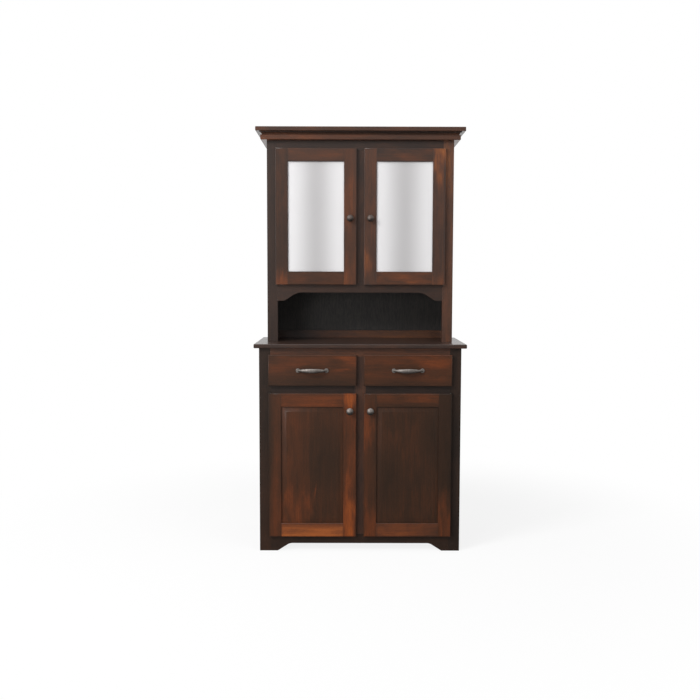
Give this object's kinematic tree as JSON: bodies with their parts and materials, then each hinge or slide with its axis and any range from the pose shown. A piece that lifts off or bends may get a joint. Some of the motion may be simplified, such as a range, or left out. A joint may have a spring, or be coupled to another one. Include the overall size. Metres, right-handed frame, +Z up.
{
  "type": "dresser with hutch",
  "caption": "Country dresser: drawers over panelled doors under a counter, and a set-back hutch with glazed doors, an open niche and a moulded crown.",
  "frame": {"origin": "on the floor, under the middle of the whole piece", "axes": "+Z up, -Y towards the front, +X to the right as seen from the front"},
  "size_m": [0.9588, 0.5006, 1.9335],
  "materials": {
    "stained_maple": "dark stained maple under satin lacquer",
    "back_plywood": "dark stained plywood",
    "drawer_maple": "clear lacquered maple",
    "pewter": "brushed pewter",
    "slide_steel": "zinc plated",
    "hinge_steel": "nickel plated",
    "catch_plastic": "brown moulded plastic",
    "pane": "pale obscured glass"
  },
  "bodies": {
    "cabinet": {"base_sides": "stained_maple", "base_partition": "stained_maple", "base_deck": "stained_maple", "base_back": "back_plywood", "base_shelves": "stained_maple", "base_outer_stiles": "stained_maple", "base_centre_stile": "stained_maple", "base_top_rail": "stained_maple", "base_mid_rails": "stained_maple", "base_bottom_rail": "stained_maple", "counter_top": "stained_maple", "slide_spacers": "stained_maple", "slide_cabinet_members": "slide_steel", "hutch_sides": "stained_maple", "hutch_top": "stained_maple", "hutch_bottom": "stained_maple", "hutch_back": "back_plywood", "hutch_back_rail": "stained_maple", "hutch_shelves": "stained_maple", "hutch_outer_stiles": "stained_maple", "hutch_centre_stile": "stained_maple", "hutch_top_rail": "stained_maple", "hutch_lower_rail": "stained_maple", "hinge_brackets": "hinge_steel", "magnetic_catches": "catch_plastic", "crown_moulding": "stained_maple", "crown_slab": "stained_maple", "shelf_pins": "hinge_steel"},
    "base_door_left": {"base_door_left_stiles": "stained_maple", "base_door_left_rails": "stained_maple", "base_door_left_panel": "stained_maple", "base_door_left_knob": "pewter"},
    "base_door_right": {"base_door_right_stiles": "stained_maple", "base_door_right_rails": "stained_maple", "base_door_right_panel": "stained_maple", "base_door_right_knob": "pewter"},
    "drawer_left": {"drawer_left_front": "stained_maple", "drawer_left_sides": "drawer_maple", "drawer_left_ends": "drawer_maple", "drawer_left_bottom": "drawer_maple", "drawer_left_pull": "pewter", "drawer_left_slide_members": "slide_steel"},
    "drawer_right": {"drawer_right_front": "stained_maple", "drawer_right_sides": "drawer_maple", "drawer_right_ends": "drawer_maple", "drawer_right_bottom": "drawer_maple", "drawer_right_pull": "pewter", "drawer_right_slide_members": "slide_steel"},
    "slide_left": {"slide_left_intermediates": "slide_steel"},
    "slide_right": {"slide_right_intermediates": "slide_steel"},
    "hutch_door_left": {"hutch_door_left_stiles": "stained_maple", "hutch_door_left_rails": "stained_maple", "hutch_door_left_glass": "pane", "hutch_door_left_retainers": "stained_maple", "hutch_door_left_knob": "pewter"},
    "hutch_door_right": {"hutch_door_right_stiles": "stained_maple", "hutch_door_right_rails": "stained_maple", "hutch_door_right_glass": "pane", "hutch_door_right_retainers": "stained_maple", "hutch_door_right_knob": "pewter"}
  },
  "joints": [
    {"name": "drawer_left_travel", "type": "slide", "parent": "cabinet", "child": "drawer_left", "axis": [0, -1, 0], "range_m": [0, 0.38]},
    {"name": "slide_left_travel", "type": "slide", "parent": "cabinet", "child": "slide_left", "axis": [0, -1, 0], "range_m": [0, 0.19]},
    {"name": "drawer_right_travel", "type": "slide", "parent": "cabinet", "child": "drawer_right", "axis": [0, -1, 0], "range_m": [0, 0.38]},
    {"name": "slide_right_travel", "type": "slide", "parent": "cabinet", "child": "slide_right", "axis": [0, -1, 0], "range_m": [0, 0.19]},
    {"name": "base_door_left_swing", "type": "hinge", "parent": "cabinet", "child": "base_door_left", "pos_m": [-0.4104, -0.2108, 0.40008], "axis": [0, 0, -1], "range_deg": [0, 110]},
    {"name": "hutch_door_left_swing", "type": "hinge", "parent": "cabinet", "child": "hutch_door_left", "pos_m": [-0.3864, -0.0698, 1.5291], "axis": [0, 0, -1], "range_deg": [0, 110]},
    {"name": "base_door_right_swing", "type": "hinge", "parent": "cabinet", "child": "base_door_right", "pos_m": [0.4104, -0.2108, 0.40008], "axis": [0, 0, 1], "range_deg": [0, 110]},
    {"name": "hutch_door_right_swing", "type": "hinge", "parent": "cabinet", "child": "hutch_door_right", "pos_m": [0.3864, -0.0698, 1.5291], "axis": [0, 0, 1], "range_deg": [0, 110]}
  ],
  "couplings": [
    {"joint": "slide_left_travel", "follows": "drawer_left_travel", "ratio": 0.5},
    {"joint": "slide_right_travel", "follows": "drawer_right_travel", "ratio": 0.5}
  ]
}
